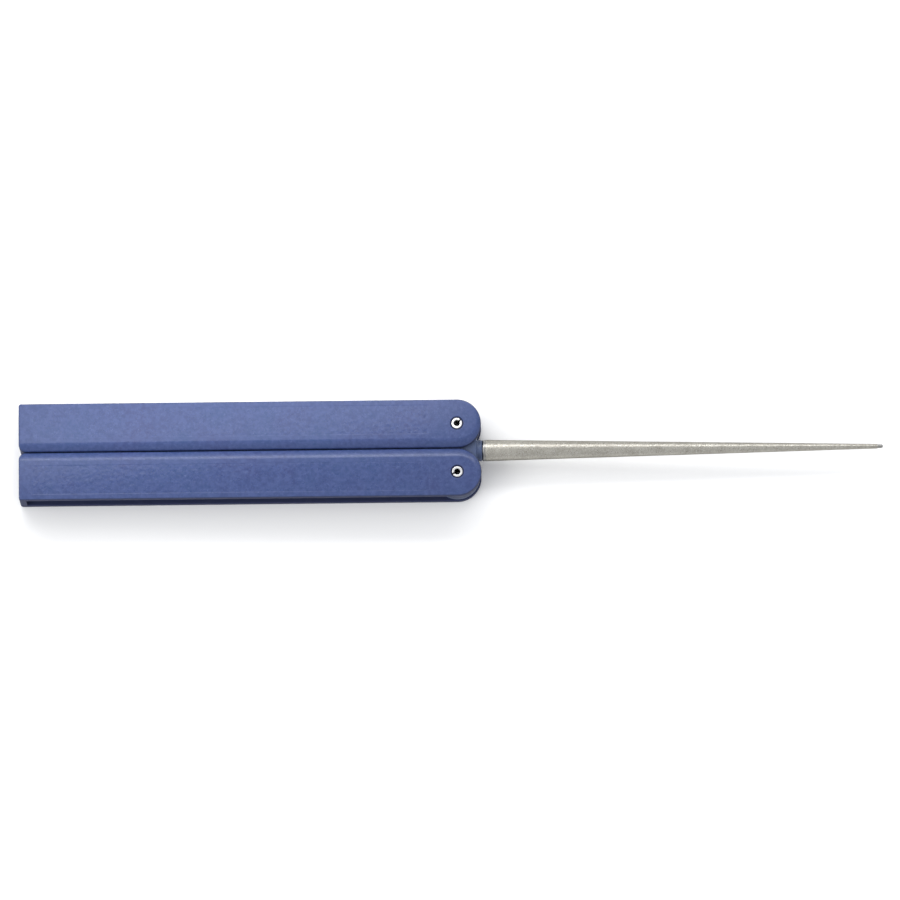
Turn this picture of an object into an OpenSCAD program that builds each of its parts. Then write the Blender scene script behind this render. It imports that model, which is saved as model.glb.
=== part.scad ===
// Folding sharpening rod. Two channel handles swing half a turn outward on spring pins,
// from lying back side by side to closing round the tapered rod.
// X runs from the butts of the handles to the tip of the rod, Y across them and Z up.
// The origin is on the resting plane, under the middle of the open object.

/* [Handles] */
// Length of a handle, from its flat butt to its round end
handle_length = 133.35; // [120:0.05:150]
// Width of a handle, from spine to rim
handle_width = 13.9; // [13.5:0.1:15]
// Thickness of a handle, face to face
handle_thickness = 12.7; // [12.2:0.1:14]
// Thickness of each side wall of the channel
side_wall = 2.6; // [2:0.1:2.8]
// Thickness of the spine that joins the side walls
spine_wall = 2.4; // [2:0.1:3]
// Thickness of the wall that closes the channel at the butt
butt_wall = 2; // [1.6:0.1:3]
// Width of the crowned edge beside the spine, across the face
crown_width = 2.6; // [1.6:0.1:2.8]
// Depth of the crowned edge, down the spine
crown_drop = 1.3; // [0.8:0.1:1.5]
// Gap between the two handles, open or closed
handle_gap = 0.25; // [0.15:0.05:0.6]

/* [Grip panels] */
// Depth of the textured panel in each face
panel_depth = 0.1; // [0.1:0.05:0.4]
// Smooth strip between the panel and the butt
panel_butt_margin = 3.4; // [2:0.1:6]
// Smooth strip between the panel and the spine
panel_spine_margin = 3.8; // [2.9:0.1:4.5]
// Smooth strip between the panel and the rim
panel_rim_margin = 1.4; // [0.4:0.1:2]
// Distance from the pivot to the panel
panel_to_pivot = 7.9; // [6:0.1:14]

/* [Pivots] */
// Outer diameter of the spring pins
pin_d = 3.2; // [2.6:0.1:3.6]
// Wall thickness of the spring pins
pin_wall = 0.75; // [0.5:0.05:0.9]
// Width of the slot along the spring pins
pin_slot = 0.5; // [0.3:0.1:0.8]
// Radial clearance of the pins in the handles
pin_clearance = 0.05; // [0.03:0.01:0.08]
// Clearance between the tang block and each side wall
tang_clearance = 0.1; // [0.05:0.05:0.3]

/* [Rod] */
// Distance from the line of the pins to the tip of the rod
tip_reach = 123; // [100:0.5:123.5]
// Diameter over the coating where the rod leaves the tang block
rod_base_d = 6.2; // [5.8:0.1:6.4]
// Diameter over the coating at the tip
rod_tip_d = 1.3; // [1:0.1:2.5]
// Thickness of the abrasive coating
coating = 0.12; // [0.08:0.01:0.25]
// Bare length at the tip
bare_tip = 1.6; // [1:0.1:4]
// Diameter of the root that is held in the tang block
root_d = 4; // [3:0.1:4.4]
// Length of the root
root_length = 10; // [6:0.5:10.5]

/* [Hidden] */
$fn = 96;

// The round end of a handle is concentric with its pin.
end_r = handle_width / 2;
pivot_to_butt = handle_length - end_r;
pivot_x = (pivot_to_butt - tip_reach) / 2;
pivot_y = (handle_width + handle_gap) / 2;
mid_z = handle_thickness / 2;

// The crowned edge is an arc that starts level with the face. It runs on round the end, about a centre
// that is crown_fade off the pin, so that it fades to nothing where it meets the rim.
crown_r = (pow(crown_width, 2) + pow(crown_drop, 2)) / (2 * crown_drop);
crown_fade = crown_width / 2;
rim_bevel = 0.25;
butt_bevel = 0.4;
butt_spine_r = 2;
butt_rim_r = 0.7;
channel_r = 0.6;
panel_r = 0.6;
fork_depth = 7.2;

hole_d = pin_d + 2 * pin_clearance;
mouth_d = pin_d + 0.7;
mouth_depth = 0.3;
pin_inset = 0.2;
pin_bevel = 0.3;
left_slot_angle = 43;
right_slot_angle = 205;

tang_thickness = handle_thickness - 2 * side_wall - 2 * tang_clearance;
lug_r = end_r - 0.35;
nose_reach = 7.3;
nose_r = rod_base_d / 2;
nose_bevel = 0.5;
// The fillet round the foot of the nose stays this far inside the faces of the web.
nose_fillet_margin = 0.1;
nose_fillet = min(0.45, tang_thickness / 2 - nose_r - nose_fillet_margin);
web_back = 4.6;
web_front = 5.6;
// The fillet starts this far inside the web, so that the two surfaces cross instead of just touching.
bite = 0.02;

rod_length = tip_reach - nose_reach;
shoulder_bevel = 0.3;
coat_start = 0.9;
tip_round = 0.45;
root_bevel = 0.5;

handle_blue = [0.31, 0.37, 0.6];
tang_blue = [0.27, 0.33, 0.4];
steel = [0.62, 0.61, 0.58];
grit = [0.6, 0.59, 0.55];
bright_steel = [0.85, 0.85, 0.85];

// Radius over the coating, and of the core under it, at a distance from the tang block.
function coated_r(x) = (rod_base_d + (rod_tip_d - rod_base_d) * x / rod_length) / 2;
function core_r(x) = coated_r(x) - coating;

// A rectangle whose four corners have their own radii, counted from [0, 0] anticlockwise.
module rounded_rectangle(size, radii) {
    corners = [[0, 0], [size.x, 0], size, [0, size.y]];
    inward = [[1, 1], [-1, 1], [-1, -1], [1, -1]];
    difference() {
        square(size);
        for (i = [0:3]) if (radii[i] > 0) {
            translate(corners[i] + inward[i] * radii[i]) corner_waste(radii[i], inward[i]);
        }
    }
}

// What a rounded corner loses: the square outside the arc.
module corner_waste(r, inward) {
    scrap = r + 1;
    difference() {
        translate([inward.x > 0 ? -scrap : 0, inward.y > 0 ? -scrap : 0]) square(scrap);
        circle(r);
    }
}

// Turns an outline drawn in Y and Z into a bar along +X.
module bar_along_x(length) {
    rotate([90, 0, 90]) linear_extrude(length) children();
}

// A strip as thick as a handle, from Y = 0 to its width, whose far edges are crowned.
module crowned_strip(width) {
    difference() {
        square([width, handle_thickness]);
        for (turned = [0, 1]) translate([0, turned * handle_thickness]) mirror([0, turned]) difference() {
            translate([width - crown_width, -1]) square([crown_width + 1, crown_drop + 1]);
            translate([width - crown_width, crown_r]) circle(crown_r);
        }
    }
}

// Cross-section of a handle without its channel, crowned beside the spine and slightly bevelled at the rim.
module handle_section() {
    difference() {
        translate([end_r, 0]) mirror([1, 0]) crowned_strip(handle_width);
        for (z = [0, handle_thickness]) {
            translate([end_r, z]) rotate(45) square(rim_bevel * sqrt(2), center = true);
        }
    }
}

// Disc that carries the crowned edge round the end.
module fading_end() {
    translate([0, crown_fade, 0]) rotate_extrude() crowned_strip(end_r + crown_fade);
}

// Round end, bevelled like the rim.
module round_end() {
    rotate_extrude() {
        polygon([
            [0, 0], [end_r - rim_bevel, 0], [end_r, rim_bevel],
            [end_r, handle_thickness - rim_bevel], [end_r - rim_bevel, handle_thickness],
            [0, handle_thickness]
        ]);
    }
}

// Straight part in plan, with its corner radii and the bevel round the butt.
module straight_part() {
    intersection() {
        translate([-pivot_to_butt, -end_r, 0]) {
            linear_extrude(handle_thickness) {
                rounded_rectangle([pivot_to_butt, handle_width], [butt_spine_r, 0, 0, butt_rim_r]);
            }
        }
        translate([-pivot_to_butt, end_r, 0]) rotate([90, 0, 0]) linear_extrude(handle_width) {
            polygon([
                [0, butt_bevel], [butt_bevel, 0], [pivot_to_butt, 0],
                [pivot_to_butt, handle_thickness], [butt_bevel, handle_thickness],
                [0, handle_thickness - butt_bevel]
            ]);
        }
    }
}

// Outside shape of a handle. The pin is at the origin, the butt at -X and the spine at -Y.
module handle_blank() {
    intersection() {
        union() {
            straight_part();
            round_end();
        }
        union() {
            translate([-pivot_to_butt - 1, 0, 0]) bar_along_x(pivot_to_butt + 1) handle_section();
            intersection() {
                fading_end();
                translate([0, -end_r - 1, -1]) cube([end_r + 1, handle_width + 2, handle_thickness + 2]);
            }
        }
    }
}

// Channel that is open at the rim, and the fork that lets the tang block in at the round end.
module channel() {
    channel_width = handle_thickness - 2 * side_wall;
    translate([-pivot_to_butt + butt_wall, 0, 0]) {
        bar_along_x(pivot_to_butt - butt_wall + end_r + 1) translate([-end_r + spine_wall, side_wall]) {
            rounded_rectangle([handle_width, channel_width], [channel_r, 0, 0, channel_r]);
        }
    }
    translate([-fork_depth, -end_r - 1, side_wall]) {
        cube([fork_depth + end_r + 1, handle_width + 2, channel_width]);
    }
}

// Recess of the textured panel in one face.
module panel(z) {
    panel_length = pivot_to_butt - panel_butt_margin - panel_to_pivot;
    panel_width = handle_width - panel_spine_margin - panel_rim_margin;
    translate([-panel_to_pivot - panel_length, -end_r + panel_spine_margin, z]) {
        linear_extrude(2 * panel_depth) {
            rounded_rectangle([panel_length, panel_width], [panel_r, panel_r, panel_r, panel_r]);
        }
    }
}

// Pin hole with its wider mouths.
module pin_hole() {
    translate([0, 0, -1]) cylinder(h = handle_thickness + 2, d = hole_d);
    for (z = [-1, handle_thickness - mouth_depth]) {
        translate([0, 0, z]) cylinder(h = mouth_depth + 1, d = mouth_d);
    }
}

module handle() {
    color(handle_blue) difference() {
        handle_blank();
        channel();
        panel(-panel_depth);
        panel(handle_thickness - panel_depth);
        pin_hole();
    }
}

module left_handle() {
    translate([pivot_x, pivot_y, 0]) handle();
}

module right_handle() {
    translate([pivot_x, -pivot_y, 0]) mirror([0, 1, 0]) handle();
}

// Lugs and web in plan, with the line of the pins at X = 0.
module tang_outline() {
    for (y = [-pivot_y, pivot_y]) translate([0, y]) circle(lug_r);
    translate([-web_back, -pivot_y]) square([web_back + web_front, 2 * pivot_y]);
}

// Round nose that the rod butts against, with a fillet round its foot and a bevel at its front.
module tang_nose() {
    root = web_front - bite;
    rotate([0, 90, 0]) rotate_extrude() difference() {
        polygon([
            [0, 0], [nose_r + nose_fillet, 0], [nose_r + nose_fillet, root + nose_fillet],
            [nose_r, root + nose_fillet], [nose_r, nose_reach - nose_bevel],
            [nose_r - nose_bevel, nose_reach], [0, nose_reach]
        ]);
        translate([nose_r + nose_fillet, root + nose_fillet]) circle(nose_fillet);
    }
}

module tang_block() {
    color(tang_blue) translate([pivot_x, 0, mid_z]) difference() {
        union() {
            translate([0, 0, -tang_thickness / 2]) linear_extrude(tang_thickness) tang_outline();
            tang_nose();
        }
        for (y = [-pivot_y, pivot_y]) translate([0, y, 0]) {
            cylinder(h = tang_thickness + 2, d = pin_d, center = true);
        }
        translate([nose_reach - root_length, 0, 0]) rotate([0, 90, 0]) {
            cylinder(h = root_length + 1, d = root_d);
        }
    }
}

// Half outline of the core, from the end of its root to its rounded tip.
module rod_outline() {
    blunt_r = core_r(rod_length);
    polygon([
        [0, -root_length], [root_d / 2 - root_bevel, -root_length],
        [root_d / 2, -root_length + root_bevel], [root_d / 2, 0],
        [coated_r(0) - shoulder_bevel, 0], [coated_r(0), shoulder_bevel], [coated_r(0), coat_start],
        [core_r(coat_start), coat_start], [blunt_r, rod_length - tip_round], [0, rod_length - tip_round]
    ]);
    translate([0, rod_length - tip_round]) {
        rounded_rectangle([blunt_r, tip_round], [0, 0, tip_round, 0]);
    }
}

// Points the revolved outline along +X, from the face of the nose.
module on_rod_axis() {
    translate([pivot_x + nose_reach, 0, mid_z]) rotate([0, 90, 0]) children();
}

module sharpening_rod() {
    color(steel) on_rod_axis() rotate_extrude() rod_outline();
}

// Even layer over the taper, from just clear of the tang block to the bare tip.
module abrasive_coating() {
    coat_end = rod_length - bare_tip;
    color(grit) on_rod_axis() rotate_extrude() {
        polygon([
            [core_r(coat_start), coat_start], [coated_r(coat_start), coat_start],
            [coated_r(coat_end), coat_end], [core_r(coat_end), coat_end]
        ]);
    }
}

// Slotted spring pin with bevelled ends.
module spring_pin(slot_angle) {
    pin_length = handle_thickness - 2 * pin_inset;
    color(bright_steel) translate([0, 0, pin_inset]) difference() {
        rotate_extrude() {
            polygon([
                [pin_d / 2 - pin_wall, 0], [pin_d / 2 - pin_bevel, 0], [pin_d / 2, pin_bevel],
                [pin_d / 2, pin_length - pin_bevel], [pin_d / 2 - pin_bevel, pin_length],
                [pin_d / 2 - pin_wall, pin_length]
            ]);
        }
        rotate(slot_angle) translate([0, -pin_slot / 2, -1]) cube([pin_d, pin_slot, pin_length + 2]);
    }
}

module left_pivot_pin() {
    translate([pivot_x, pivot_y, 0]) spring_pin(left_slot_angle);
}

module right_pivot_pin() {
    translate([pivot_x, -pivot_y, 0]) spring_pin(right_slot_angle);
}

left_handle();
right_handle();
tang_block();
sharpening_rod();
abrasive_coating();
left_pivot_pin();
right_pivot_pin();
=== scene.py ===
import math

import bmesh
import bpy
import numpy as np
from mathutils import Matrix, Vector
from mathutils.geometry import tessellate_polygon


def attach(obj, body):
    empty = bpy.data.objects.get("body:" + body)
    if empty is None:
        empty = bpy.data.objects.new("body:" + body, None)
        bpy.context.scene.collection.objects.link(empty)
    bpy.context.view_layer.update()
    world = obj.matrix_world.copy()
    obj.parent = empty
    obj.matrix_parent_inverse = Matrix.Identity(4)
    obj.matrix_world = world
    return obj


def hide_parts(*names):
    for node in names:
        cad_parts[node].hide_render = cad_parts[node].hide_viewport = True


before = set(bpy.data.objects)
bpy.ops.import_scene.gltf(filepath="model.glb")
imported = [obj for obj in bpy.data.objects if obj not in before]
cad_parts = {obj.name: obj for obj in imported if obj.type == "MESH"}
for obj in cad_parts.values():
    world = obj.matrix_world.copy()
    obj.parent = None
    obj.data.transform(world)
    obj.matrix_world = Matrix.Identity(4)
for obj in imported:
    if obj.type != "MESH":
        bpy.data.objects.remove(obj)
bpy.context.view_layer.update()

# Shapes are in millimetres, with the CAD's own sizes, and become metres only when a mesh is made.
# The visual meshes add what is finer than the CAD: rolled edges, pebble, grit and softer steps.
MM = 0.001
TINY = 1e-6

# Edges that turn by more degrees than this stay sharp.
SHARP_ANGLE = 38
GRIT_SHARP_ANGLE = 60

# Handles. Their own frame has the pin at the origin, the butt at -X, the spine at -Y and Z = 0 half way up.
PIVOT_X = 1.7
PIVOT_Y = 7.075
HALF_T = 6.35
END_R = 6.95
BUTT_X = -126.4
CROWN_WIDTH = 2.6
CROWN_DROP = 1.3
CROWN_POWER = 1.55
CROWN_FADE = CROWN_WIDTH / 2
CROWN_Y = CROWN_WIDTH - END_R
EDGE_ROLL = 0.4
WORN_BAND = (0.1 * EDGE_ROLL, 0.8 * EDGE_ROLL)
SIDE_SHADE_REACH = EDGE_ROLL / 1.4
FLAT_INSET = 1.0
CORNER_CREEP = (0.3, 1e-4)
BUTT_SPINE_R = 2.0
BUTT_RIM_R = 0.7
CEILING = 3.75
LIP_ROLL = 0.25
CHANNEL_BUTT_X = -124.4
CHANNEL_SPINE_Y = -4.55
CHANNEL_R = 0.6
FORK_X = -7.2
HOLE_R = 1.65
MOUTH_R = 1.95
MOUTH_DEPTH = 0.3
MOUTH_ROLL = 0.12
HOLE_BREAK = 0.06

# Tags on points, from 0 to 1: how worn an edge is, and how much painted shade (a darker colour) and extra
# roughness a side gets, less on a closed side.
LIP_WEAR = 0.3
MOUTH_WEAR = 0.6
TANG_WEAR = 0.7
PIN_WEAR = 0.8
CLOSED_SIDE_SHADE_AND_ROUGHNESS = 0.7

# Grip panel in each face of a handle.
PANEL_LOW = (-123.0, -3.15)
PANEL_HIGH = (-7.9, 5.55)
PANEL_R = 0.6
PANEL_STEP = 0.35
PANEL_DEPTH_SPINE = 0.035
PANEL_DEPTH_RIM = 0.042
PANEL_FLOOR_LOW = (PANEL_LOW[0] + PANEL_STEP, PANEL_LOW[1] + PANEL_STEP)
PANEL_FLOOR_HIGH = (PANEL_HIGH[0] - PANEL_STEP, PANEL_HIGH[1] - PANEL_STEP)
PANEL_FLOOR_R = PANEL_R - PANEL_STEP
PANEL_COLLAR = 0.15
PANEL_GRID = 0.22
PEBBLE_HEIGHT = 0.034
PEBBLE_FADE = 0.5
PEBBLE_CELLS = (0.85, 0.48)
PEBBLE_SEED = 1

# Tang block.
TANG_HALF = 3.65
LUG_R = 6.6
WEB_BACK = -4.6
WEB_FRONT = 5.6
TANG_ROLL = 0.3
NOSE_R = 3.1
NOSE_FILLET = 0.45
NOSE_REACH = 7.3
NOSE_BEVEL = 0.5
NOSE_START = 1.0
NOSE_SINK = 0.02
CUT_PAST = 1.0
MITRE_LIMIT = 0.5
ROOT_R = 2.0
ROOT_LENGTH = 10.0
ROOT_BEVEL = 0.5

# Rod.
ROD_START = PIVOT_X + NOSE_REACH
ROD_LENGTH = 115.7
ROD_BASE_R = 3.1
ROD_TIP_R = 0.65
COATING = 0.12
COAT_START = 0.9
SHOULDER_ROLL = 0.3
BARE_TIP = 1.6
TIP_ROUND = 0.45
TIP_FLAT = 0.15
GRIT_STEP = 0.24
GRIT_HEIGHT = 0.018
GRIT_FADE = 0.4
GRIT_CELLS = (0.34, 0.9)
GRIT_SEED = 3
ROD_RINGS = 80
COATING_SINK = 0.05

# Spring pins.
PIN_R = 1.6
PIN_BORE_R = 0.85
PIN_HALF = 6.15
PIN_BEVEL = 0.3
PIN_ROLL = 0.22
PIN_BORE_FLARE = 0.1
PIN_SLOT = 0.5
LEFT_SLOT_ANGLE = 43
RIGHT_SLOT_ANGLE = 205


# ---------------------------------------------------------------- shell of points and faces

class Shell:
    """Points, faces and per-point tags of one closed surface, in millimetres."""

    def __init__(self):
        self.points, self.faces = [], []
        self.tags = {"edge": [], "grip": [], "side": []}

    def add(self, points, **tags):
        first = len(self.points)
        self.points.extend(tuple(map(float, p)) for p in points)
        for name, values in self.tags.items():
            values.extend([tags.get(name, 0.0)] * len(points))
        return list(range(first, len(self.points)))

    def strip(self, a, b, closed=False):
        n = len(a)
        for i in range(n if closed else n - 1):
            j = (i + 1) % n
            self.faces.append((a[i], a[j], b[j], b[i]))

    def loft(self, rows, closed=False):
        for a, b in zip(rows, rows[1:]):
            self.strip(a, b, closed)

    def fill(self, loops):
        flat = [i for loop in loops for i in loop]
        spans = [[Vector(self.points[i]) for i in loop] for loop in loops]
        self.faces.extend(tuple(flat[k] for k in t) for t in tessellate_polygon(spans))

    def mirrored_in_z(self):
        """Adds the other half, sharing the points on Z = 0."""
        twin = {}
        for i in range(len(self.points)):
            x, y, z = self.points[i]
            tags = {name: values[i] for name, values in self.tags.items()}
            twin[i] = i if abs(z) < TINY else self.add([(x, y, -z)], **tags)[0]
        self.faces.extend([tuple(twin[i] for i in reversed(f)) for f in self.faces])
        return self

    def mesh(self, name):
        data = bpy.data.meshes.new(name)
        data.from_pydata([tuple(c * MM for c in p) for p in self.points], [], self.faces)
        for tag, values in self.tags.items():
            layer = data.attributes.new(tag, "FLOAT", "POINT")
            layer.data.foreach_set("value", np.array(values, np.float32))
        return data


def placed(name, data, matrix, sharp_angle=SHARP_ANGLE):
    """An object whose mesh has outward normals, lies in the row frame and shades smoothly."""
    bm = bmesh.new()
    bm.from_mesh(data)
    bmesh.ops.recalc_face_normals(bm, faces=bm.faces)
    bm.to_mesh(data)
    bm.free()
    data.transform(matrix)
    data.shade_smooth()
    data.set_sharp_from_angle(angle=math.radians(sharp_angle))
    piece = bpy.data.objects.new(name, data)
    bpy.context.scene.collection.objects.link(piece)
    weighted = piece.modifiers.new("weighted_normals", "WEIGHTED_NORMAL")
    weighted.keep_sharp = True
    weighted.weight = 80
    return piece


def place(x, y, turned_over=False, slot_angle=0):
    matrix = Matrix.Translation((x * MM, y * MM, HALF_T * MM))
    if turned_over:
        matrix = matrix @ Matrix.Rotation(math.pi, 4, "X")
    return matrix @ Matrix.Rotation(math.radians(slot_angle), 4, "Z")


# ---------------------------------------------------------------- curves

def steps(a, b, count):
    """Count + 1 even values from a to b."""
    return [a + (b - a) * i / count for i in range(count + 1)]


def quarter(count):
    """Angles of a quarter turn, in count steps."""
    return steps(0, math.pi / 2, count)


def full_turn(count):
    """Count even angles all the way round."""
    return steps(0, 2 * math.pi, count)[:-1]


# ---------------------------------------------------------------- deterministic noise

# Any table and odd factors do: they only have to stay the same from run to run.
NOISE_TABLE = np.random.RandomState(7).rand(65536)
NOISE_ORIGIN = 1000.0


def lattice(ix, iy, iz, seed):
    mixed = (ix * 73856093) ^ (iy * 19349663) ^ (iz * 83492791) ^ (seed * 2654435)
    return NOISE_TABLE[mixed & 65535]


def value_noise(points, cell, seed):
    """Smooth noise from -1 to 1 at an array of points, with features about one cell across."""
    p = np.asarray(points, float) / cell + NOISE_ORIGIN
    base = np.floor(p).astype(np.int64)
    t = p - base
    t = t * t * (3 - 2 * t)
    total = np.zeros(len(p))
    for dx in (0, 1):
        for dy in (0, 1):
            for dz in (0, 1):
                weight = (np.where(dx, t[:, 0], 1 - t[:, 0]) * np.where(dy, t[:, 1], 1 - t[:, 1])
                          * np.where(dz, t[:, 2], 1 - t[:, 2]))
                total += weight * lattice(base[:, 0] + dx, base[:, 1] + dy, base[:, 2] + dz, seed)
    return 2 * total - 1


def relief_noise(points, cells, seed):
    """Two sizes of noise, the first of them the stronger."""
    return 0.6 * value_noise(points, cells[0], seed) + 0.4 * value_noise(points, cells[1], seed + 1)


# ---------------------------------------------------------------- handle

def crown_depth(x, y):
    """How far the face has dropped at a point, in the crowned edge beside the spine and round the end."""
    if x < 0:
        past = -y - (END_R - CROWN_WIDTH)
    else:
        past = math.hypot(x, y - CROWN_FADE) - (END_R + CROWN_FADE - CROWN_WIDTH)
    past = min(max(past, 0.0), CROWN_WIDTH)
    return CROWN_DROP * (past / CROWN_WIDTH) ** CROWN_POWER


def edge_distance(x, y):
    """Distance of a point in plan from the outline of the handle."""
    if x >= 0:
        return END_R - math.hypot(x, y)
    for r, side in ((BUTT_SPINE_R, -1), (BUTT_RIM_R, 1)):
        cx, cy = BUTT_X + r, side * (END_R - r)
        if x < cx and (y - cy) * side > 0:
            return r - math.hypot(x - cx, y - cy)
    return min(END_R - abs(y), x - BUTT_X)


def roll_depth(distance):
    gap = EDGE_ROLL - min(max(distance, 0.0), EDGE_ROLL)
    return EDGE_ROLL - math.sqrt(max(EDGE_ROLL ** 2 - gap ** 2, 0.0))


def face_height(x, y):
    return HALF_T - crown_depth(x, y) - roll_depth(edge_distance(x, y))


def rim_columns():
    """The open rim, from the butt to the round end."""
    return [((x, END_R), (x, END_R - FLAT_INSET), True) for x in steps(CHANNEL_BUTT_X, 0, 60)[:-1]]


def round_end_columns():
    """The round end, from the rim to the spine. The centre of its crown is CROWN_FADE off the pin."""
    columns = []
    flat_r = END_R + CROWN_FADE - CROWN_WIDTH
    for angle in steps(90, -90, 72):
        c, s = math.cos(math.radians(angle)), math.sin(math.radians(angle))
        reach = CROWN_FADE * s + math.sqrt(CROWN_FADE ** 2 * (s * s - 1) + flat_r ** 2)
        q = min(reach, END_R - FLAT_INSET)
        columns.append(((END_R * c, END_R * s), (q * c, q * s), True))
    return columns


def spine_columns(corner_x):
    """The spine side, open along the fork and closed from there to the corner at the butt."""
    fork = [((x, -END_R), (x, CROWN_Y), True) for x in steps(0, FORK_X, 6)[1:]]
    return fork + [((x, -END_R), (x, CROWN_Y), False) for x in steps(FORK_X, corner_x, 60)[1:]]


def spine_corner_columns(corner_x):
    """The rounded corner between the spine and the butt, up to where the crown begins."""
    corner_y = -END_R + BUTT_SPINE_R
    corner = [(corner_x - BUTT_SPINE_R * math.sin(a), corner_y - BUTT_SPINE_R * math.cos(a))
              for a in quarter(12)[1:]]
    corner += [(BUTT_X, y) for y in steps(corner_y, CROWN_Y, 4)[1:]]
    inner_x = steps(corner_x, BUTT_X + FLAT_INSET, len(corner))[1:]
    return [(point, (x, CROWN_Y), False) for point, x in zip(corner, inner_x)]


def butt_columns():
    """The butt and its small corner at the rim. The inner points creep on, so that no two coincide."""
    inner_x, inner_y = BUTT_X + FLAT_INSET, END_R - FLAT_INSET
    columns = [((BUTT_X, y), (inner_x, min(y, inner_y)), False)
               for y in steps(CROWN_Y, END_R - BUTT_RIM_R, 10)[1:]]
    cx, cy = BUTT_X + BUTT_RIM_R, END_R - BUTT_RIM_R
    for a in quarter(8)[1:]:
        point = (cx - BUTT_RIM_R * math.cos(a), cy + BUTT_RIM_R * math.sin(a))
        inner = (inner_x + CORNER_CREEP[0] * a / (math.pi / 2), inner_y + CORNER_CREEP[1] * a)
        columns.append((point, inner, False))
    return columns


def outline_columns():
    """Outline of the handle in plan: (point, inner point on the flat of the face, side wall is open)."""
    corner_x = BUTT_X + BUTT_SPINE_R
    return (rim_columns() + round_end_columns() + spine_columns(corner_x)
            + spine_corner_columns(corner_x) + butt_columns())


def side_shade_and_roughness(y, is_open):
    """How much painted shade darkens the side of the handle, and how rough it is: fully at the rim and the
    butt, less down the spine.
    """
    from_spine = min((y + END_R) / BUTT_SPINE_R, 1.0)
    return 1.0 if is_open else CLOSED_SIDE_SHADE_AND_ROUGHNESS + (1 - CLOSED_SIDE_SHADE_AND_ROUGHNESS) * from_spine


def handle_top(shell, columns):
    """Rows of the crowned and rolled edge of the face, from the flat out to the side wall."""
    inner_rows, roll_rows = 9, 7
    rows = [[] for _ in range(inner_rows + roll_rows)]
    for (px, py), (qx, qy), is_open in columns:
        length = math.hypot(px - qx, py - qy)
        distances = steps(length, EDGE_ROLL, inner_rows)[:-1]
        distances += [EDGE_ROLL * (1 - math.sin(a)) for a in quarter(roll_rows - 1)]
        for row, d in zip(rows, distances):
            x, y = px + (qx - px) * d / length, py + (qy - py) * d / length
            worn = 1.0 if WORN_BAND[0] < d < WORN_BAND[1] else 0.0
            z = HALF_T if d == length else face_height(x, y)
            fade = 1 - min(d / SIDE_SHADE_REACH, 1.0)
            row += shell.add([(x, y, z)], edge=worn, side=fade * side_shade_and_roughness(py, is_open))
    shell.loft(rows, closed=True)
    return rows[0], rows[-1]


def handle_walls(shell, columns, top):
    """Side walls, down to the lip of the open sides or to the middle of the closed ones."""
    n = len(columns)
    lip_z = CEILING + LIP_ROLL
    wall = [shell.add([(x, y, lip_z)], side=side_shade_and_roughness(y, is_open))[0] for (x, y), _, is_open in columns]
    shell.strip(top, wall, closed=True)
    open_part = [i for i in range(n) if columns[i][2]]
    rows = [[wall[i] for i in open_part]]
    for a in quarter(4)[1:]:
        row = []
        for i in open_part:
            (px, py), (qx, qy), _ = columns[i]
            reach = LIP_ROLL * (1 - math.cos(a)) / math.hypot(px - qx, py - qy)
            x, y = px + (qx - px) * reach, py + (qy - py) * reach
            row += shell.add([(x, y, lip_z - LIP_ROLL * math.sin(a))], edge=LIP_WEAR, side=1.0)
        rows.append(row)
    shell.loft(rows)
    closed_part = [open_part[-1]] + [i for i in range(n) if not columns[i][2]] + [0]
    spots = [columns[i][0] for i in closed_part]
    middle = [shell.add([(x, y, 0.0)], side=side_shade_and_roughness(y, False))[0] for x, y in spots]
    shell.strip([wall[i] for i in closed_part], middle)
    return rows, middle


def handle_channel(shell, lip_rows, middle, hole):
    """Ceiling of the channel and the fork, the spine inside and the two faces that end them."""
    section = [(CHANNEL_SPINE_Y, 0.0)]
    section += [(CHANNEL_SPINE_Y + CHANNEL_R * (1 - math.cos(a)), CEILING - CHANNEL_R * (1 - math.sin(a)))
                for a in quarter(6)]
    # The channel's inside takes the full side tag, so it gets painted shade and more roughness.
    stations = [shell.add([(x, y, z) for y, z in section], side=1.0)
                for x in steps(FORK_X, CHANNEL_BUTT_X, 24)]
    shell.loft(stations)
    fork, butt = stations[0], stations[-1]
    ceiling = lip_rows[-1] + [s[-1] for s in stations]
    shell.fill([ceiling, hole])
    shell.fill([fork + [row[-1] for row in reversed(lip_rows)] + [middle[0]]])
    shell.fill([butt + [row[0] for row in reversed(lip_rows)] + [middle[-1]]])


def handle_hole(shell):
    """Pin hole with its wider mouth. Returns its loops on the face and on the ceiling."""
    floor_z = HALF_T - MOUTH_DEPTH
    mouth = [(MOUTH_R + MOUTH_ROLL * (1 - math.sin(a)), HALF_T - MOUTH_ROLL * (1 - math.cos(a)))
             for a in quarter(4)]
    bore = [(MOUTH_R, floor_z), (HOLE_R + HOLE_BREAK, floor_z), (HOLE_R, floor_z - HOLE_BREAK),
            (HOLE_R, CEILING)]
    rings = [(MOUTH_R + 2 * MOUTH_ROLL, HALF_T, {})]
    # The bore takes the full side tag, so it gets painted shade and more roughness.
    rings += [(r, z, {"edge": MOUTH_WEAR}) for r, z in mouth] + [(r, z, {"side": 1.0}) for r, z in bore]
    rows = [shell.add([(r * math.cos(a), r * math.sin(a), z) for a in full_turn(64)], **tags)
            for r, z, tags in rings]
    shell.loft(rows, closed=True)
    return rows[0], rows[-1]


def rounded_into_corner(u, v):
    """Moves a point of the unit corner square onto the unit quarter disc."""
    return u * math.sqrt(1 - v * v / 2), v * math.sqrt(1 - u * u / 2)


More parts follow.
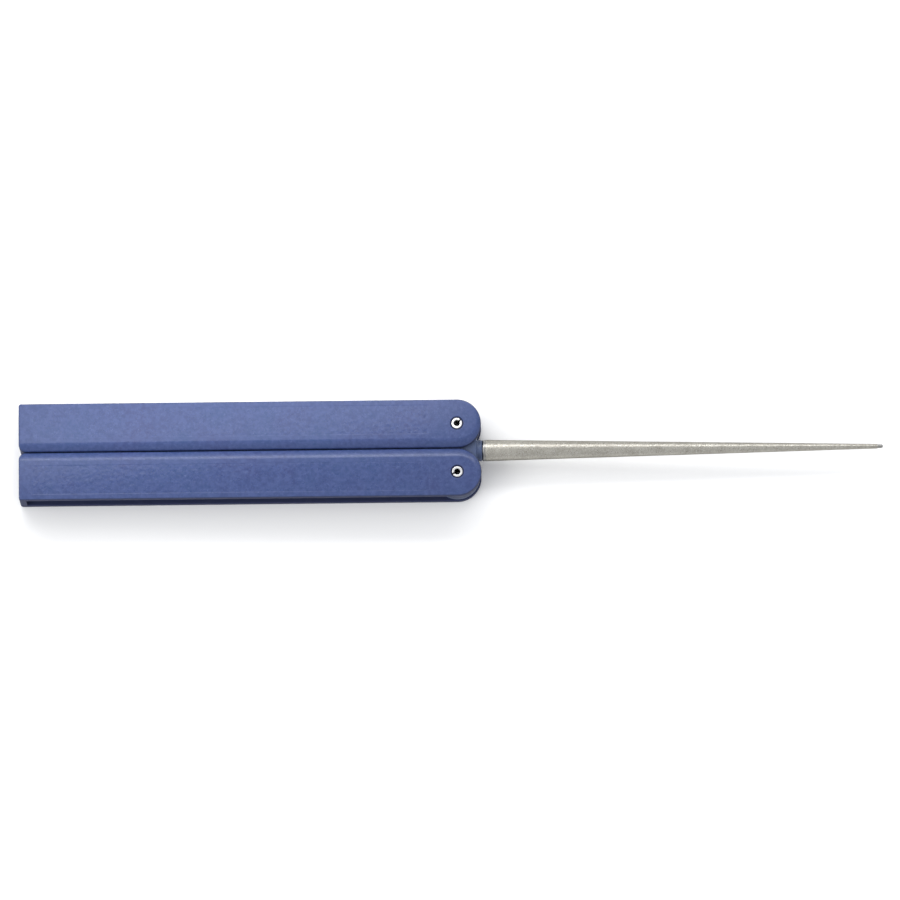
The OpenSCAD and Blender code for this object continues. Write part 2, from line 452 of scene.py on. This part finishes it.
def panel_spot(x, y):
    """A point of the panel's floor, bent into its round corner, and the way out from the corner's centre."""
    r = PANEL_FLOOR_R
    ax = min(max(x, PANEL_FLOOR_LOW[0] + r), PANEL_FLOOR_HIGH[0] - r)
    ay = min(max(y, PANEL_FLOOR_LOW[1] + r), PANEL_FLOOR_HIGH[1] - r)
    out_x, out_y = (x - ax) / r, (y - ay) / r
    u, v = rounded_into_corner(out_x, out_y)
    return ax + u * r, ay + v * r, out_x, out_y


def panel_depth(y):
    share = (y - PANEL_LOW[1]) / (PANEL_HIGH[1] - PANEL_LOW[1])
    return PANEL_DEPTH_SPINE + (PANEL_DEPTH_RIM - PANEL_DEPTH_SPINE) * share


def pebble(flat):
    """Moulded relief of the panel's floor, which fades out towards its edge."""
    low, high = PANEL_FLOOR_LOW, PANEL_FLOOR_HIGH
    relief = relief_noise(flat, PEBBLE_CELLS, PEBBLE_SEED) * PEBBLE_HEIGHT
    inside = np.minimum.reduce([flat[:, 0] - low[0], high[0] - flat[:, 0],
                                flat[:, 1] - low[1], high[1] - flat[:, 1]])
    return relief * np.clip(inside / PEBBLE_FADE, 0, 1)


def panel_floor(shell):
    """Grid of the panel's floor. Returns its border, as points of the shell and as spots."""
    (low_x, low_y), (high_x, high_y) = PANEL_FLOOR_LOW, PANEL_FLOOR_HIGH
    nx, ny = round((high_x - low_x) / PANEL_GRID), round((high_y - low_y) / PANEL_GRID)
    spots = [panel_spot(x, y) for y in steps(low_y, high_y, ny) for x in steps(low_x, high_x, nx)]
    relief = pebble(np.array([(x, y, 0.0) for x, y, _, _ in spots]))
    ids = shell.add([(x, y, HALF_T - panel_depth(y) + rise) for (x, y, _, _), rise in zip(spots, relief)],
                    grip=1.0)
    rows = [ids[j * (nx + 1):(j + 1) * (nx + 1)] for j in range(ny + 1)]
    shell.loft(rows)
    border = rows[0][:-1] + [row[-1] for row in rows[:-1]]
    border += rows[-1][:0:-1] + [row[0] for row in rows[:0:-1]]
    return border, [spots[i - ids[0]] for i in border]


def moved_out(spot, distance):
    x, y, out_x, out_y = spot
    length = math.hypot(out_x, out_y)
    return x + out_x / length * distance, y + out_y / length * distance


def handle_panel(shell):
    """Recessed panel and the soft slope round it. Returns its outer loop on the face."""
    border, spots = panel_floor(shell)
    rows = [border]
    for t in steps(0, 1, 5)[1:]:
        sunk = 1 - t * t * (3 - 2 * t)
        rows.append(shell.add([(*moved_out(spot, PANEL_STEP * t), HALF_T - panel_depth(spot[1]) * sunk)
                               for spot in spots]))
    rows.append(shell.add([(*moved_out(spot, PANEL_STEP + PANEL_COLLAR), HALF_T) for spot in spots]))
    shell.loft(rows, closed=True)
    return rows[-1]


def handle_mesh(name):
    shell = Shell()
    columns = outline_columns()
    flat_loop, side_loop = handle_top(shell, columns)
    lip_rows, middle = handle_walls(shell, columns, side_loop)
    mouth, bore_end = handle_hole(shell)
    handle_channel(shell, lip_rows, middle, bore_end)
    shell.fill([flat_loop, mouth, handle_panel(shell)])
    return shell.mirrored_in_z().mesh(name)


# ---------------------------------------------------------------- tang block

def tang_outline():
    start = math.degrees(math.asin(math.sqrt(1 - (WEB_FRONT / LUG_R) ** 2)))
    finish = math.degrees(math.asin(math.sqrt(1 - (WEB_BACK / LUG_R) ** 2)))
    upper = [(LUG_R * math.cos(math.radians(a)), PIVOT_Y + LUG_R * math.sin(math.radians(a)))
             for a in steps(-start, 180 + finish, 110)]
    lower = [(x, -y) for x, y in reversed(upper)]
    return upper + lower


def inward_normals(outline):
    """Mitred inward normals of a counterclockwise outline."""
    result, n = [], len(outline)
    for i in range(n):
        (ax, ay), (bx, by), (cx, cy) = outline[i - 1], outline[i], outline[(i + 1) % n]
        first = Vector((-(by - ay), bx - ax)).normalized()
        second = Vector((-(cy - by), cx - bx)).normalized()
        mitre = (first + second).normalized()
        result.append(mitre / max(mitre.dot(first), MITRE_LIMIT))
    return result


def tang_block_shell():
    shell, outline = Shell(), tang_outline()
    normals = inward_normals(outline)
    rows = []
    for a in quarter(6):
        inset, z = TANG_ROLL * (1 - math.sin(a)), TANG_HALF - TANG_ROLL * (1 - math.cos(a))
        rows.append(shell.add([(x + n.x * inset, y + n.y * inset, z)
                               for (x, y), n in zip(outline, normals)], edge=TANG_WEAR))
    # The middle of the block's sides takes the full side tag, so it gets painted shade and more roughness.
    rows.append(shell.add([(x, y, 0.0) for x, y in outline], side=1.0))
    shell.loft(rows, closed=True)
    shell.fill([rows[0]])
    return shell.mirrored_in_z()


def lathe(profile, rings=96):
    """Closed solid turned about X from (x, r) pairs that start and end at r = 0."""
    shell = Shell()
    tips = [shell.add([(profile[0][0], 0, 0)])[0], shell.add([(profile[-1][0], 0, 0)])[0]]
    rows = [shell.add([(x, r * math.cos(a), r * math.sin(a))
                       for a in full_turn(rings)]) for x, r in profile[1:-1]]
    shell.loft(rows, closed=True)
    for tip, row in ((tips[0], rows[0]), (tips[1], rows[-1])):
        shell.faces.extend((tip, row[i], row[(i + 1) % rings]) for i in range(rings))
    return shell


def nose_shell():
    flare_x = WEB_FRONT - NOSE_SINK
    flare = [(flare_x + NOSE_FILLET * (1 - math.sin(a)), NOSE_R + NOSE_FILLET * (1 - math.cos(a)))
             for a in reversed(quarter(6))]
    front = [(NOSE_REACH - NOSE_BEVEL * (1 - math.sin(a)), NOSE_R - NOSE_BEVEL * (1 - math.cos(a)))
             for a in quarter(6)]
    foot = [(NOSE_START, 0), (NOSE_START, NOSE_R + NOSE_FILLET)]
    return lathe(foot + flare + front + [(NOSE_REACH, 0)])


def cylinder_shell(radius, x0, x1, rings=64):
    return lathe([(x0, 0), (x0, radius), (x1, radius), (x1, 0)], rings)


def combined(shell, others):
    """The shell after the union or difference with other shells, given as (shell, matrix, operation)."""
    base = placed("tang_work", shell.mesh("tang_work"), Matrix.Identity(4))
    base.modifiers.clear()
    for i, (other, matrix, operation) in enumerate(others):
        tool = placed(f"tool_{i}", other.mesh(f"tool_{i}"), matrix)
        tool.modifiers.clear()
        step = base.modifiers.new(f"step_{i}", "BOOLEAN")
        step.operation, step.solver, step.object = operation, "EXACT", tool
        evaluated = base.evaluated_get(bpy.context.evaluated_depsgraph_get())
        made = bpy.data.meshes.new_from_object(evaluated)
        base.modifiers.clear()
        base.data = made
        bpy.data.objects.remove(tool)
    made = base.data
    bpy.data.objects.remove(base)
    return made


def tang_mesh():
    """The block with its nose, less the bores of the two pins and of the rod's root."""
    upright, still = Matrix.Rotation(math.pi / 2, 4, "Y"), Matrix.Identity(4)
    pins = [(cylinder_shell(PIN_R, -TANG_HALF - CUT_PAST, TANG_HALF + CUT_PAST),
             Matrix.Translation((0, side * PIVOT_Y * MM, 0)) @ upright, "DIFFERENCE") for side in (1, -1)]
    root = cylinder_shell(ROOT_R, NOSE_REACH - ROOT_LENGTH, NOSE_REACH + CUT_PAST)
    return combined(tang_block_shell(), [(nose_shell(), still, "UNION"), *pins, (root, still, "DIFFERENCE")])


# ---------------------------------------------------------------- rod

def coated_r(x):
    return ROD_BASE_R + (ROD_TIP_R - ROD_BASE_R) * x / ROD_LENGTH


def rod_mesh(name):
    """Bare core: the root, the shoulder, the taper under the coating and the rounded tip."""
    end = ROD_LENGTH - TIP_ROUND
    tip_r = coated_r(ROD_LENGTH) - COATING
    profile = [(-ROOT_LENGTH, 0), (-ROOT_LENGTH, ROOT_R - ROOT_BEVEL), (-ROOT_LENGTH + ROOT_BEVEL, ROOT_R),
               (0, ROOT_R)]
    profile += [(SHOULDER_ROLL * (1 - math.cos(a)), coated_r(0) - SHOULDER_ROLL * (1 - math.sin(a)))
                for a in quarter(5)]
    profile += [(COAT_START, coated_r(COAT_START)), (COAT_START, coated_r(COAT_START) - COATING)]
    profile += [(x, coated_r(x) - COATING) for x in steps(COAT_START, end, 40)[1:]]
    profile += [(end + TIP_ROUND * math.sin(a), tip_r * (TIP_FLAT + (1 - TIP_FLAT) * math.cos(a)))
                for a in quarter(6)[1:]]
    profile += [(ROD_LENGTH, 0)]
    return lathe(profile, ROD_RINGS).mesh(name)


def coating_mesh(name):
    """Abrasive layer with its grit in relief."""
    start, end = COAT_START, ROD_LENGTH - BARE_TIP
    count, rings = round((end - start) / GRIT_STEP), ROD_RINGS
    xs = np.repeat(np.array(steps(start, end, count)), rings)
    angles = np.tile(np.array(full_turn(rings)), count + 1)
    radius = coated_r(xs)
    surface = np.column_stack([xs, radius * np.cos(angles), radius * np.sin(angles)])
    relief = relief_noise(surface, GRIT_CELLS, GRIT_SEED)
    ends = np.minimum(xs - start, end - xs)
    reach = radius - 0.5 * GRIT_HEIGHT + GRIT_HEIGHT * relief * np.clip(ends / GRIT_FADE, 0, 1)
    reach = np.where(ends < TINY, radius - COATING_SINK, reach)
    shell = Shell()
    ids = shell.add(np.column_stack([xs, reach * np.cos(angles), reach * np.sin(angles)]))
    rows = [ids[k * rings:(k + 1) * rings] for k in range(count + 1)]
    core = [shell.add([(x, (coated_r(x) - COATING) * math.cos(a), (coated_r(x) - COATING) * math.sin(a))
                       for a in full_turn(rings)]) for x in (start, end)]
    shell.loft(rows, closed=True)
    shell.strip(core[0], rows[0], closed=True)
    shell.strip(rows[-1], core[1], closed=True)
    shell.strip(core[0], core[1], closed=True)
    return shell.mesh(name)


# ---------------------------------------------------------------- spring pin

def pin_mesh(name):
    """Rolled, slotted pin: a C in plan with rounded ends. Its slot faces +X."""
    half_slot = math.asin(PIN_SLOT / 2 / PIN_R)
    inner_slot = math.asin(PIN_SLOT / 2 / PIN_BORE_R)
    count = 72
    levels = []
    for a in quarter(6):
        z, open_share = PIN_HALF - PIN_BEVEL * (1 - math.cos(a)), 1 - math.sin(a)
        levels.append((z, PIN_R - PIN_ROLL * open_share, PIN_BORE_R + PIN_BORE_FLARE * open_share, PIN_WEAR))
    levels.append((0.0, PIN_R, PIN_BORE_R, 0.0))
    shell, rows = Shell(), []
    for z, outer, inner, worn in levels:
        out = [(outer * math.cos(a), outer * math.sin(a), z)
               for a in steps(half_slot, 2 * math.pi - half_slot, count)]
        back = [(inner * math.cos(a), inner * math.sin(a), z)
                for a in steps(2 * math.pi - inner_slot, inner_slot, count)]
        rows.append(shell.add(out + back, edge=worn))
    shell.loft(rows, closed=True)
    top = rows[0]
    shell.strip(top[:count + 1], list(reversed(top[count + 1:])))
    return shell.mirrored_in_z().mesh(name)


# ---------------------------------------------------------------- materials

# Linear RGB.
HANDLE_BLUE = (0.021, 0.034, 0.116)
HANDLE_TEAL = (0.018, 0.040, 0.125)
HANDLE_GRAIN = (0.033, 0.053, 0.153)
HANDLE_SPECKS = (0.057, 0.085, 0.20)
HANDLE_RUBBED = (0.050, 0.080, 0.20)
# Painted shade: a deep navy mixed into the handle where its sides, channel and bore fall in shade.
HANDLE_PAINTED_SHADE = (0.007, 0.010, 0.042)
TANG_DARK = (0.036, 0.056, 0.125)
TANG_LIGHT = (0.044, 0.066, 0.148)
TANG_RUBBED = (0.055, 0.08, 0.14)
# Painted shade: a near-black blue mixed into the block's sides, where they sit in shade between the handles.
TANG_PAINTED_SHADE = (0.006, 0.009, 0.022)
GRIT_DARK = (0.30, 0.286, 0.252)
GRIT_LIGHT = (0.365, 0.35, 0.31)
GRIT_CRYSTALS = (0.52, 0.51, 0.48)
GRIT_EDGE_TINT = (0.35, 0.34, 0.32, 1)
STEEL_DARK = (0.20, 0.197, 0.19)
STEEL_LIGHT = (0.30, 0.296, 0.285)
PIN_GREY = (0.60, 0.60, 0.60)
PIN_BRIGHT = (0.74, 0.74, 0.735)
PIN_RUBBED = (0.85, 0.85, 0.845)
FLOOR_GREY = (0.86, 0.86, 0.86)
FLOOR_WHITE = (0.88, 0.88, 0.88)
SKY_COLOUR = (0.97, 0.98, 1.0, 1)
PLASTIC_IOR = 1.45
FLOOR_IOR = 1.3


class Nodes:
    """Small helper round one material's node tree."""

    def __init__(self, name):
        self.material = bpy.data.materials.new(name)
        self.material.use_nodes = True
        self.tree = self.material.node_tree
        self.shader = self.tree.nodes["Principled BSDF"]
        self.place = self.node("ShaderNodeTexCoord").outputs["Object"]

    def node(self, kind, **settings):
        made = self.tree.nodes.new(kind)
        for key, value in settings.items():
            setattr(made, key, value)
        return made

    def link(self, a, b):
        self.tree.links.new(a, b)

    def noise(self, scale, detail, roughness, stretch=None):
        made = self.node("ShaderNodeTexNoise")
        made.inputs["Scale"].default_value = scale
        made.inputs["Detail"].default_value = detail
        made.inputs["Roughness"].default_value = roughness
        source = self.place
        if stretch:
            mapping = self.node("ShaderNodeMapping")
            mapping.inputs["Scale"].default_value = stretch
            self.link(self.place, mapping.inputs["Vector"])
            source = mapping.outputs["Vector"]
        self.link(source, made.inputs["Vector"])
        return made.outputs["Fac"]

    def cells(self, scale):
        made = self.node("ShaderNodeTexVoronoi")
        made.inputs["Scale"].default_value = scale
        self.link(self.place, made.inputs["Vector"])
        return made

    def spread(self, value, low, high, to_low, to_high):
        made = self.node("ShaderNodeMapRange")
        self.link(value, made.inputs["Value"])
        for key, number in (("From Min", low), ("From Max", high), ("To Min", to_low), ("To Max", to_high)):
            made.inputs[key].default_value = number
        return made.outputs["Result"]

    def math(self, operation, a, b):
        made = self.node("ShaderNodeMath", operation=operation)
        for socket, value in zip(made.inputs, (a, b)):
            if isinstance(value, (int, float)):
                socket.default_value = value
            else:
                self.link(value, socket)
        return made.outputs["Value"]

    def patchy(self, value, a, b, low=0.35, high=0.65):
        """A colour that runs from a to b as the value goes from low to high."""
        return self.mix(self.spread(value, low, high, 0, 1), a, b)

    def wear(self, scale, detail, roughness, low, high, most):
        """How far worn edges are rubbed, in patches."""
        patches = self.spread(self.noise(scale, detail, roughness), low, high, 0, most)
        return self.math("MULTIPLY", self.tag("edge"), patches)

    def uneven(self, scale, low, high, roughness=0.6):
        """A value that wanders from low to high."""
        return self.spread(self.noise(scale, 3, roughness), 0.3, 0.7, low, high)

    def mix(self, factor, a, b):
        made = self.node("ShaderNodeMix", data_type="RGBA")
        self.link(factor, made.inputs["Factor"])
        for socket, value in ((made.inputs[6], a), (made.inputs[7], b)):
            if isinstance(value, tuple):
                socket.default_value = (*value, 1)
            else:
                self.link(value, socket)
        return made.outputs[2]

    def tag(self, name):
        return self.node("ShaderNodeAttribute", attribute_name=name).outputs["Fac"]

    def bump(self, height, strength, distance, before=None):
        made = self.node("ShaderNodeBump")
        made.inputs["Strength"].default_value = strength
        made.inputs["Distance"].default_value = distance
        self.link(height, made.inputs["Height"])
        if before:
            self.link(before, made.inputs["Normal"])
        return made.outputs["Normal"]

    def finish(self, colour, roughness, normal, **constants):
        self.link(colour, self.shader.inputs["Base Color"])
        self.link(roughness, self.shader.inputs["Roughness"])
        self.link(normal, self.shader.inputs["Normal"])
        for key, value in constants.items():
            self.shader.inputs[key.replace("_", " ")].default_value = value
        return self.material


def handle_plastic():
    """Blue moulding with a fine grain, rubbed edges, and rough sides darkened with painted shade."""
    n = Nodes("handle_plastic")
    side = n.tag("side")
    base = n.patchy(n.noise(70, 4, 0.6), HANDLE_BLUE, HANDLE_TEAL)
    grainy = n.mix(n.spread(n.noise(900, 3, 0.6), 0.38, 0.62, 0, 0.9), base, HANDLE_GRAIN)
    speckled = n.mix(n.spread(n.noise(1700, 2, 0.5), 0.6, 0.78, 0, 0.6), grainy, HANDLE_SPECKS)
    rubbed = n.mix(n.wear(420, 4, 0.7, 0.42, 0.68, 0.5), speckled, HANDLE_RUBBED)
    # Painted shade: the side tag darkens the rim and butt faces, the channel and the bore towards a deep
    # navy.
    colour = n.mix(n.spread(side, 0, 1, 0, 0.8), rubbed, HANDLE_PAINTED_SHADE)
    gripped = n.spread(n.tag("grip"), 0, 1, 0.33, 0.28)
    sided = n.math("MAXIMUM", gripped, n.spread(side, 0, 1, 0.28, 0.8))
    roughness = n.math("ADD", sided, n.uneven(240, -0.04, 0.05))
    fine = n.bump(n.noise(3200, 3, 0.55), 0.25, 0.00003)
    grip = n.bump(n.math("MULTIPLY", n.noise(1400, 2, 0.5), n.tag("grip")), 0.5, 0.00006, fine)
    return n.finish(colour, roughness, grip, IOR=PLASTIC_IOR)


def tang_plastic():
    """Blue-grey satin moulding with rubbed edges, and sides darkened with painted shade."""
    n = Nodes("tang_plastic")
    side = n.tag("side")
    base = n.patchy(n.noise(160, 4, 0.6), TANG_DARK, TANG_LIGHT)
    rubbed = n.mix(n.wear(500, 4, 0.7, 0.4, 0.66, 0.6), base, TANG_RUBBED)
    # Painted shade: the sides of the block darken towards their middle.
    colour = n.mix(n.spread(side, 0, 1, 0, 0.6), rubbed, TANG_PAINTED_SHADE)
    roughness = n.math("ADD", n.spread(side, 0, 1, 0.42, 0.75), n.uneven(420, -0.06, 0.06))
    return n.finish(colour, roughness, n.bump(n.noise(2400, 3, 0.5), 0.25, 0.00003), IOR=PLASTIC_IOR)


def diamond_grit():
    """Nickel plate full of small crystals that glint. The tint keeps its edges from turning white."""
    n = Nodes("diamond_grit")
    crystals = n.cells(4200)
    shade = n.node("ShaderNodeSeparateColor")
    n.link(crystals.outputs["Color"], shade.inputs["Color"])
    base = n.patchy(n.noise(260, 4, 0.6), GRIT_DARK, GRIT_LIGHT)
    colour = n.mix(n.spread(shade.outputs["Red"], 0.55, 1, 0, 0.6), base, GRIT_CRYSTALS)
    roughness = n.spread(shade.outputs["Green"], 0, 1, 0.26, 0.44)
    lumps = n.bump(n.noise(600, 2, 0.5), 0.4, 0.00012)
    coarse = n.bump(n.noise(2600, 3, 0.65), 0.6, 0.00005, lumps)
    facets = n.bump(crystals.outputs["Distance"], 0.5, 0.00005, coarse)
    return n.finish(colour, roughness, facets, Metallic=0.95, Specular_Tint=GRIT_EDGE_TINT)


def rod_steel():
    """Bare ground steel, with rings left by the grinding."""
    n = Nodes("rod_steel")
    rings = n.noise(900, 4, 0.7, (6.0, 0.3, 0.3))
    colour = n.patchy(rings, STEEL_DARK, STEEL_LIGHT, 0.3, 0.7)
    return n.finish(colour, n.uneven(500, 0.26, 0.42), n.bump(rings, 0.3, 0.00003), Metallic=1.0)


def pin_steel():
    """Bright rolled steel, scratched along the pin and rubbed at its ends."""
    n = Nodes("pin_steel")
    base = n.patchy(n.noise(900, 4, 0.6), PIN_GREY, PIN_BRIGHT)
    colour = n.mix(n.wear(1500, 3, 0.6, 0.4, 0.7, 0.5), base, PIN_RUBBED)
    scratches = n.noise(1200, 4, 0.7, (1.0, 1.0, 0.15))
    return n.finish(colour, n.uneven(1300, 0.2, 0.36), n.bump(scratches, 0.3, 0.00003), Metallic=1.0)


def floor_white():
    n = Nodes("floor_white")
    colour = n.patchy(n.noise(6, 3, 0.5), FLOOR_GREY, FLOOR_WHITE, 0.3, 0.7)
    roughness = n.uneven(9, 0.85, 0.95, roughness=0.5)
    return n.finish(colour, roughness, n.bump(n.noise(300, 2, 0.5), 0.05, 0.0001), IOR=FLOOR_IOR)


# ---------------------------------------------------------------- stage, light and camera

# The camera is fitted to the photo. Its target is in millimetres, its distance in metres, its angles in
# degrees.
TARGET = (-0.36, 0.28, 6.35)
DISTANCE = 2.8
ELEVATION = 80.3
AZIMUTH = 1
ROLL = -1.62
LENS = 387.7
SENSOR = 36
CLIP = (0.1, 50)
FLOOR_SIZE = 8
FLOOR_CELLS = 8

SKY_LOW = 0.9
SKY_HIGH = 1.0


def add_camera():
    data = bpy.data.cameras.new("camera")
    data.lens, data.sensor_width = LENS, SENSOR
    data.clip_start, data.clip_end = CLIP
    e, a, r = math.radians(ELEVATION), math.radians(AZIMUTH), math.radians(ROLL)
    back = Vector((math.sin(a) * math.cos(e), -math.cos(a) * math.cos(e), math.sin(e)))
    side = (-back).cross(Vector((0, 0, 1))).normalized()
    up = side.cross(-back)
    right = side * math.cos(r) + up * math.sin(r)
    top = up * math.cos(r) - side * math.sin(r)
    camera = bpy.data.objects.new("camera", data)
    bpy.context.scene.collection.objects.link(camera)
    turn = Matrix((right, top, back)).transposed().to_4x4()
    camera.matrix_world = Matrix.Translation(Vector(TARGET) * MM + back * DISTANCE) @ turn
    bpy.context.scene.camera = camera


def add_light(name, place_at, size, radiance, aim=(0, 0, 0), turn=0):
    """A rectangular soft light of that radiance, aimed at a point in the row frame, in metres."""
    data = bpy.data.lights.new(name, "AREA")
    data.shape, data.size, data.size_y = "RECTANGLE", size[0], size[1]
    data.energy = radiance * math.pi * size[0] * size[1]
    light = bpy.data.objects.new(name, data)
    bpy.context.scene.collection.objects.link(light)
    light.location = place_at
    light.rotation_mode = "QUATERNION"
    facing = (Vector(aim) - Vector(place_at)).to_track_quat("-Z", "Y")
    light.rotation_quaternion = facing @ Matrix.Rotation(math.radians(turn), 3, "Z").to_quaternion()


def add_sky():
    """Soft room light that comes from above and fades towards the horizon."""
    world = bpy.data.worlds.new("world")
    bpy.context.scene.world = world
    world.use_nodes = True
    tree = world.node_tree
    sky = tree.nodes["Background"]
    place = tree.nodes.new("ShaderNodeTexCoord")
    split = tree.nodes.new("ShaderNodeSeparateXYZ")
    fade = tree.nodes.new("ShaderNodeMapRange")
    tree.links.new(place.outputs["Generated"], split.inputs["Vector"])
    tree.links.new(split.outputs["Z"], fade.inputs["Value"])
    for key, number in (("From Min", 0.0), ("From Max", 1.0), ("To Min", SKY_LOW), ("To Max", SKY_HIGH)):
        fade.inputs[key].default_value = number
    tree.links.new(fade.outputs["Result"], sky.inputs["Strength"])
    sky.inputs["Color"].default_value = SKY_COLOUR


def add_lights():
    """The back strip draws the light line along the crowned edge and the rod. The near strip hangs close
    over the left handle and makes it the brighter one; the camera can't see an area light from behind."""
    add_light("back_strip", (-0.05, 0.72, 0.69), (1.5, 0.26), 4.8)
    add_light("left_box", (-1.3, -0.35, 1.3), (1.4, 1.0), 2.6)
    add_light("near_strip", (-0.064, 0.0195, 0.043), (0.141, 0.031), 2.07, aim=(-0.064, 0.0195, 0.0), turn=7)


def add_stage():
    bpy.ops.mesh.primitive_grid_add(x_subdivisions=FLOOR_CELLS, y_subdivisions=FLOOR_CELLS, size=FLOOR_SIZE)
    floor = bpy.context.object
    floor.name = "floor"
    floor.data.materials.clear()
    floor.data.materials.append(floor_white())
    add_sky()
    add_lights()


# ---------------------------------------------------------------- assembly

def add_piece(name, data, matrix, material, body, node, sharp_angle=SHARP_ANGLE):
    piece = placed(name, data, matrix, sharp_angle)
    data.materials.clear()
    data.materials.append(material)
    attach(piece, body)
    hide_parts(node)


def add_object():
    plastic, steel = handle_plastic(), pin_steel()
    left, right = place(PIVOT_X, PIVOT_Y), place(PIVOT_X, -PIVOT_Y, turned_over=True)
    add_piece("left_handle_shell", handle_mesh("left_handle_shell"), left, plastic,
              "left_handle", "left_handle")
    add_piece("right_handle_shell", handle_mesh("right_handle_shell"), right, plastic,
              "right_handle", "right_handle")
    add_piece("tang", tang_mesh(), place(PIVOT_X, 0), tang_plastic(), "rod_unit", "tang_block")
    add_piece("rod_core", rod_mesh("rod_core"), place(ROD_START, 0), rod_steel(), "rod_unit",
              "sharpening_rod")
    add_piece("rod_coating", coating_mesh("rod_coating"), place(ROD_START, 0), diamond_grit(), "rod_unit",
              "abrasive_coating", sharp_angle=GRIT_SHARP_ANGLE)
    add_piece("left_pin", pin_mesh("left_pin"), place(PIVOT_X, PIVOT_Y, slot_angle=LEFT_SLOT_ANGLE), steel,
              "rod_unit", "left_pivot_pin")
    add_piece("right_pin", pin_mesh("right_pin"), place(PIVOT_X, -PIVOT_Y, slot_angle=RIGHT_SLOT_ANGLE),
              steel, "rod_unit", "right_pivot_pin")


bpy.context.scene.view_settings.view_transform = "Standard"
bpy.context.scene.view_settings.look = "None"
add_camera()
add_object()
add_stage()
